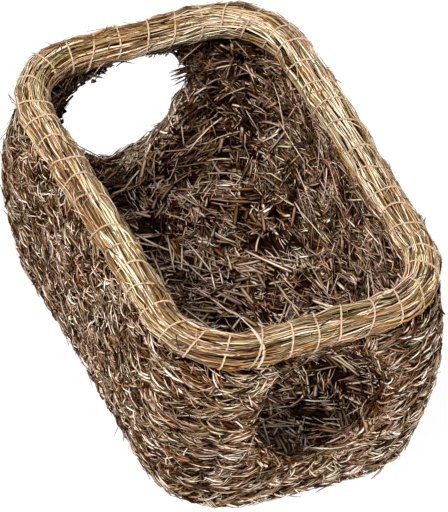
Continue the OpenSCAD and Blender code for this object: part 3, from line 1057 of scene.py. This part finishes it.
def lay_underside(sheaf, seed, count):
    """Plait strands on the underside of the floor."""
    draw = Draw(seed, count)
    pitch = 2 * FLOOR_HALF_WIDTH / FLOOR_RUNS
    run = draw.whole(FLOOR_RUNS)
    strand = draw.whole(3)
    x0 = draw.even(-1, 1) * FLOOR_HALF_LENGTH
    length = draw.size(UNDERSIDE.length)
    spot = draw.even(-1, 1) * FLOOR_STRAND
    x = x0 + linspace(-0.5, 0.5, UNDERSIDE.rings) * length
    theta = TURN * (x / FLOOR_PERIOD + strand / 3) + run * 1.7
    y = (run - (FLOOR_RUNS - 1) / 2) * pitch + FLOOR_SWING * sin(theta) + spot
    z = 1.9 * MM - 1.1 * MM * sin(2 * theta)
    path = np.stack([x, y, z], -1)
    across = np.broadcast_to([0.0, 1.0, 0.0], path.shape)
    kept = on_floor(x, y, 3 * MM)
    lay_kind(sheaf.lay, draw, UNDERSIDE, path, across, kept, (x0, y[:, 2:3]))


def floor_core(sheaf):
    """Dark inside of the floor, in strips that reach under the first course: painted shade that shows in
    the gaps between straws.
    """
    strips = 24
    sides = 8
    steps = 12
    grow = 5 * MM
    bottom = 1.6 * MM
    tall = (FLOOR_TOP - 3 * MM - bottom) / 2
    pitch = 2 * (FLOOR_HALF_WIDTH + grow) / strips
    turn = (np.arange(sides) + 0.5) * TURN / sides
    for k in range(strips):
        y = (k - (strips - 1) / 2) * pitch
        reach = floor_reach(abs(y) + pitch / 2, FLOOR_CORNER + grow)
        ring = np.zeros((1, steps, sides, 3))
        ring[0, :, :, 0] = linspace(-reach, reach, steps)[:, None]
        ring[0, :, :, 1] = y + clip(cos(turn) * 1.3, -0.55, 0.55) * pitch
        ring[0, :, :, 2] = bottom + tall - 0.5 * MM + clip(sin(turn) * 1.3, -1, 1) * tall
        sheaf.add_rings(ring, DARKEST, MIDDLE_HUE, CORE)


def lay_floor_stalks(sheaf, seed, count, kind):
    """Longer stalks or flat flakes that lie on the floor, some side by side."""
    draw = Draw(seed, count // STALK_LOT, STALK_LOT)
    x0 = draw.group_even(-0.9, 0.9) * FLOOR_HALF_LENGTH + draw.bell(0, 5) * MM
    y0 = draw.group_even(-0.9, 0.9) * FLOOR_HALF_WIDTH + draw.bell(0, 5) * MM
    angle = FLOOR_COMB + draw.group_bell(0, 0.8) + draw.bell(0, 0.2)
    length = draw.size(kind.length)
    rise = np.abs(draw.bell(0, 0.07))
    t = linspace(0, 1, kind.rings)
    bow = draw.bell(0, 0.018) * length * arch(t)
    x, y = floor_line(x0, y0, angle, length * (t - 0.5), bow)
    z = FLOOR_TOP + 2 * MM + kind.over + draw.even(0, 2) * MM + rise * length * t
    across = np.stack([-sin(angle), cos(angle), draw.bell(0, 0.3)], -1)
    kept = on_floor(x, y, 2 * MM)
    lay_kind(sheaf.lay, draw, kind, np.stack([x, y, z], -1), across, kept, (x0, y0))


floor_sheaf = Sheaf("floor_straw")
floor_core(floor_sheaf)
lay_floor(floor_sheaf, 50, 400, UNDER_TUFTS)
lay_floor(floor_sheaf, 51, 610, FLOOR_TUFTS)
lay_underside(floor_sheaf, 52, 750)
lay_floor_stalks(floor_sheaf, 57, 84, STALKS)
lay_floor_stalks(floor_sheaf, 54, 300, FLAKES)
keep(floor_sheaf.build(plait_straw, deep_straw, inner_straw), "plait", "floor_plait")


# Rim and its twine
TWINE_TURNS = 22
TWINE_FIRST = 5.88 * MM
TWINE_LAST = LOOP / 2 - TWINE_FIRST
TWINE_TUCK = radians(200)
TWINE_BEND = radians(12.98)
TWINE_SWEEP = TURN * TWINE_TURNS - 2 * TWINE_BEND
TWINE_PITCH = (TWINE_LAST - TWINE_FIRST) / TWINE_SWEEP * TURN
PINCH = 1.6 * MM
GOLDEN_TURN = pi * (3 - sqrt(5))
RIM_STRAW = (5.0, 0.28, 0.6, 3.2)
DEEP_RIM_STRAW = (1.3, 2.6)
# Shade of the bundle's dark inside: painted shade that shows in the gaps between straws
RIM_CORE_SHADE = 0.12


def twine_angle(run):
    """Angle of the twine round the bundle at a distance from the start of a winding."""
    share = (run - TWINE_FIRST) / (TWINE_LAST - TWINE_FIRST)
    return TWINE_TUCK - TWINE_BEND - TWINE_SWEEP * share


def rim_skin(s, angle):
    """Radius of the bundle: drawn in under the twine and lumpy between."""
    off = angle - twine_angle(np.mod(RIGHT_MIDDLE - s, LOOP / 2))
    away = (np.mod(off + pi, TURN) - pi) / TURN * TWINE_PITCH
    pinch = PINCH * np.exp(-(away / (4.0 * MM)) ** 2)
    turn = TURN * s / LOOP
    lumps = 0.75 * sin(3 * angle + 19 * turn) + 0.65 * sin(2 * angle - 31 * turn)
    return RIM_RADIUS - 0.2 * MM + lumps * MM - pinch


def lay_rim(sheaf, seed, locks, per_lock, deep):
    """Long straws in locks, laid along the bundle; deep ones lie under the rest and are darker, painted
    shade.
    """
    rings = 8
    draw = Draw(seed, locks, per_lock)
    lock = draw.group[:, None]
    middle = (lock + draw.group_even(0, 1)) / locks * LOOP + draw.bell(0, 16) * MM
    length = draw.even(40, 110) * MM
    spot = GOLDEN_TURN * lock + draw.group_bell(0, 0.25) + draw.bell(0, 0.17)
    drift = draw.group_bell(0, 3.2) + draw.bell(0, 3.8)
    layer = draw.group_bell(-0.9 if deep else 0.35, 0.35) + draw.bell(0, 0.3)
    t = linspace(0, 1, rings)
    s = middle + (t - 0.5) * length
    period = draw.even(28, 60) * MM
    phase = draw.even(0, TURN)
    wave = draw.bell(0, 0.035) * sin(TURN * s / period + phase)
    angle = spot + drift * (t - 0.5) * length + wave
    lift = maximum(draw.bell(-1.5, 1.6), 0) * (0 if deep else MM)
    radius = rim_skin(s, angle) + layer * MM + lift * clip((t - 0.8) / 0.2, 0, 1) ** 2
    path = rim_point(s, angle, radius)
    across = rim_vector(s, 0.0, angle + draw.bell(0, 0.45))
    width = draw.size(RIM_STRAW)
    if deep:
        # As in Tufts, the first widths are drawn all the same
        width = draw.size(DEEP_RIM_STRAW)
    thick = draw.even(0.6, 1.0) * MM
    # Deep straws are darker, painted shade under the rest; the rim's painted light and shade go on top
    shade = draw.group_bell(0.40 if deep else 0.76, 0.12) + rim_painted_light(middle) + draw.bell(0, 0.18)
    hue = draw.group_bell(0.68, 0.22) + draw.bell(0, 0.18)
    sheaf.lay(Blades(path, across, width, thick, clip(shade, *SHADES), clip(hue, *HUES)))


def lay_rim_ends(sheaf, seed, count):
    """Thin loose ends that stand off the rim."""
    rings = 4
    draw = Draw(seed, count)
    s0 = draw.even(0, LOOP)
    angle0 = draw.even(0, TURN)
    length = draw.size((5.0, 3.0, 6, 34))
    way = draw.bell(0, 0.6) + draw.whole(2) * pi
    rise = np.abs(draw.bell(0, 2.2)) * MM
    t = linspace(0, 1, rings)
    s = s0 + length * t * cos(way)
    angle = angle0 + length * t * sin(way) / RIM_RADIUS
    path = rim_point(s, angle, rim_skin(s, angle) + 0.7 * MM + rise * t ** 1.7)
    across = rim_vector(s, draw.bell(0, 1), angle)
    width = draw.even(0.45, 1.1) * MM
    thick = draw.even(0.35, 0.6) * MM
    shade = clip(draw.bell(0.55, 0.25), 0.06, 0.99)
    hue = clip(draw.bell(0.5, 0.25), *HUES)
    sheaf.lay(Blades(path, across, width, thick, shade, hue))


def lay_rim_fringe(sheaf, seed, end, count):
    """What is left of the last course along the top of a hole, under the rim."""
    draw = Draw(seed, count)
    s0 = end * LOOP / 2 + draw.even(-46, 46) * MM
    length = draw.size(FRINGE.length)
    slope = draw.bell(0, 0.35)
    drop = draw.even(0, 1) ** 1.5 * 6.5 * MM
    run = linspace(-0.5, 0.5, FRINGE.rings) * length
    s = s0 + run
    up = RIM_BOTTOM + 1.0 * MM - drop + slope * run
    path = wall_point(s, up, draw.bell(0, 3.0) * MM)
    across = wall_vector(s, 0.0, 1.0, draw.bell(0, 0.6))
    kept = np.ones(count, dtype=bool)
    lay_kind(sheaf.lay, draw, FRINGE, path, across, kept, (s0, up[:, :1]))


def rim_core(sheaf):
    """Dark inside of the bundle: painted shade that shows in the gaps between straws."""
    steps = 200
    sides = 12
    s = np.tile(linspace(0, LOOP, steps)[:, None], (1, sides))
    angle = np.tile(np.arange(sides) * TURN / sides, (steps, 1))
    ring = rim_point(s, angle, rim_skin(s, angle) - 2.6 * MM)
    sheaf.add_rings(ring[None], RIM_CORE_SHADE, MIDDLE_HUE, CORE)


rim_sheaf = Sheaf("rim_straw_bundle")
rim_core(rim_sheaf)
lay_rim(rim_sheaf, 61, 160, 5, deep=True)
lay_rim(rim_sheaf, 62, 200, 9, deep=False)
lay_rim_ends(rim_sheaf, 63, 700)
for end in (0, 1):
    lay_rim_fringe(rim_sheaf, 64 + end, end, 170)
keep(rim_sheaf.build(rim_straw, deep_straw), "straw", "rim_bundle")


# Twine and cords of two plies

Cord = namedtuple("Cord", "ply_radius ply_offset lay_length shade")
TWINE = Cord(0.52 * MM, 0.42 * MM, 7 * MM, 0.74)
SEAM_CORD = Cord(0.55 * MM, 0.45 * MM, 8 * MM, 0.6)
PLY_SIDES = 6
TURN_STEPS = 40
FLOOR_CORD_STEPS = 90
SEAM_STEP = 3 * MM

# How the twine strays from even turns: distance in mm and waves in one winding
TWINE_STRAYS = ((1.3, 5.3), (0.9, 13.1), (1.1, 29.3))


def lay_cord(sheaf, path, across, cord):
    """A cord of two twisted plies along a path."""
    side, face = sides_of(path, across)
    length = np.concatenate([[0], np.cumsum(np.linalg.norm(np.diff(path, axis=0), axis=1))])
    corners = (np.arange(PLY_SIDES) * TURN / PLY_SIDES)[:, None]
    skin = cos(corners) * side[:, None] + sin(corners) * face[:, None]
    for ply in range(2):
        twist = (TURN * length / cord.lay_length + ply * pi)[:, None]
        centre = path + cord.ply_offset * (cos(twist) * side + sin(twist) * face)
        ring = centre[:, None] + cord.ply_radius * skin
        sheaf.add_rings(ring[None], cord.shade, MIDDLE_HUE)


def make_twine(name, s_start, seed):
    """One twine wound round half the rim."""
    rng = np.random.default_rng(seed)
    share = linspace(0, 1, TWINE_TURNS * TURN_STEPS)
    run = TWINE_FIRST + share * (TWINE_LAST - TWINE_FIRST)
    angle = twine_angle(run)
    s = s_start - run
    for far, waves in TWINE_STRAYS:
        s = s + far * MM * sin(TURN * waves * share + rng.uniform(0, TURN))
    from_end = np.minimum(share, 1 - share) * TWINE_TURNS
    tuck = 4.5 * MM * clip(1 - from_end / 0.12, 0, 1) ** 2
    path = rim_point(s, angle, rim_skin(s, angle) + 1.9 * MM - tuck)
    _, outward = loop_frame(s)
    sheaf = Sheaf(name)
    lay_cord(sheaf, path, along_of(outward), TWINE)
    return sheaf


def lay_strip(sheaf, place):
    """A flat strip of straw tied round the rim beside the twine."""
    steps = 24
    angle = linspace(radians(-75), radians(205), steps)
    s = place + 1.2 * MM * sin(2 * angle)
    path = rim_point(s, angle, rim_skin(s, angle) + 1.8 * MM)
    _, outward = loop_frame(s)
    across = along_of(outward)
    sheaf.lay(Blades(path[None], across[None], 2.6 * MM, 0.6 * MM, shade=0.86, hue=0.55), tip=0.85)


near_twine = make_twine("near_rim_twine", RIGHT_MIDDLE, 71)
lay_strip(near_twine, -51 * MM)
keep(near_twine.build(twine_fibre), "twine", "near_rim_binding")
far_twine = make_twine("far_rim_twine", RIGHT_MIDDLE + LOOP / 2, 72)
keep(far_twine.build(twine_fibre), "twine", "far_rim_binding")


def lay_seam(sheaf, i, span):
    """The cord in the seam over course i, on the parts of the loop that the holes leave."""
    z = i * COURSE_PITCH - CORD_GAP / 2
    s = linspace(span[0], span[1], int((span[1] - span[0]) / SEAM_STEP))
    path = wall_point(s, np.full(len(s), z), np.zeros(len(s)))
    solid = ~in_hole(path, 2 * MM)
    edges = np.flatnonzero(np.diff(np.concatenate([[0], solid.astype(int), [0]])))
    for first, last in zip(edges[::2], edges[1::2]):
        lay_cord(sheaf, path[first:last], UPWARD, SEAM_CORD)


def make_seams(name, nodes, span):
    """The seam cords of one part of the wall."""
    sheaf = Sheaf(name)
    for node in nodes:
        lay_seam(sheaf, int(node[-1]), span)
    keep(sheaf.build(twine_fibre), "cord", *nodes)


JOINT_HALF = 0.3 * MM
LOW_SPAN = (JOINT_HALF - LOOP / 2, LOOP / 2 - JOINT_HALF)
SPLIT_SEAMS = range(FIRST_SPLIT, COURSES)
make_seams("low_seam_cords", [f"seam_cord_{i}" for i in WHOLE_COURSES], LOW_SPAN)
make_seams("right_seam_cords", [f"right_seam_cord_{i}" for i in SPLIT_SEAMS], (0, LOOP / 2))
make_seams("left_seam_cords", [f"left_seam_cord_{i}" for i in SPLIT_SEAMS], (LOOP / 2, LOOP))


def make_floor_cords():
    """The straight cords between the runs of the floor."""
    low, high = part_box("floor_seam_cords")
    sheaf = Sheaf("floor_cords")
    radius = (high.z - low.z) / 2
    for y in linspace(low.y + radius, high.y - radius, FLOOR_RUNS - 1):
        reach = floor_reach(abs(y) + radius, FLOOR_CORNER) - 20 * MM
        path = np.full((FLOOR_CORD_STEPS, 3), (low.z + high.z) / 2)
        path[:, 0] = linspace(-reach, reach, FLOOR_CORD_STEPS)
        path[:, 1] = y
        lay_cord(sheaf, path, UPWARD, SEAM_CORD)
    keep(sheaf.build(twine_fibre), "cord", "floor_seam_cords")


make_floor_cords()


# Camera, light and floor

def place_camera():
    """The camera of the photo."""
    data = bpy.data.cameras.new("photo_camera")
    data.sensor_width = SENSOR
    data.lens = SENSOR * FOCAL_PIXELS / PHOTO_HEIGHT
    data.clip_start = 0.1
    data.clip_end = 50
    camera = add_object("photo_camera", data)
    turn = Matrix.Rotation(CAMERA_AZIMUTH, 4, "Z") @ Matrix.Rotation(pi / 2 - CAMERA_ELEVATION, 4, "X")
    turn = turn @ Matrix.Rotation(CAMERA_ROLL, 4, "Z")
    back = Matrix.Translation((0, 0, CAMERA_DISTANCE))
    camera.matrix_world = Matrix.Translation(CAMERA_TARGET) @ turn @ back
    bpy.context.scene.camera = camera


def area_light(name, place, target, size, power):
    """A soft square light."""
    data = bpy.data.lights.new(name, "AREA")
    data.size = size
    data.energy = power
    light = add_object(name, data)
    light.location = place
    way = Vector(target) - Vector(place)
    light.rotation_euler = way.to_track_quat("-Z", "Y").to_euler()


def white_floor():
    """A plain pale floor that the camera sees as white, with a faint shadow."""
    bpy.ops.mesh.primitive_plane_add(size=12, location=(0, 0, -0.3 * MM))
    floor = bpy.context.object
    floor.name = "studio_floor"
    material = bpy.data.materials.new("studio_floor")
    material.use_nodes = True
    tree = material.node_tree
    tree.nodes.clear()
    matt = add_node(tree, "BsdfDiffuse", {"Color": (0.85, 0.85, 0.85)}).outputs[0]
    bright = add_node(tree, "Emission", {"Strength": 1.04}).outputs[0]
    seen = add_node(tree, "LightPath", {}).outputs["Is Camera Ray"]
    mostly = math_node(tree, "MULTIPLY", seen, 0.92)
    mix = add_node(tree, "MixShader", {0: mostly, 1: matt, 2: bright}).outputs[0]
    add_node(tree, "OutputMaterial", {0: mix})
    floor.data.materials.append(material)


def white_world(strength):
    """Even white light from all round, which the camera sees as plain white."""
    world = bpy.data.worlds.new("studio")
    world.use_nodes = True
    tree = world.node_tree
    sky = tree.nodes["Background"]
    seen = add_node(tree, "LightPath", {}).outputs["Is Camera Ray"]
    link(tree, WHITE, sky.inputs["Color"])
    link(tree, math_node(tree, "MAXIMUM", seen, strength), sky.inputs["Strength"])
    bpy.context.scene.world = world


place_camera()
white_world(WORLD_LIGHT)
white_floor()
for light in LIGHTS:
    area_light(*light)
scene = bpy.context.scene
scene.view_settings.view_transform = "Standard"

bpy.context.view_layer.update()
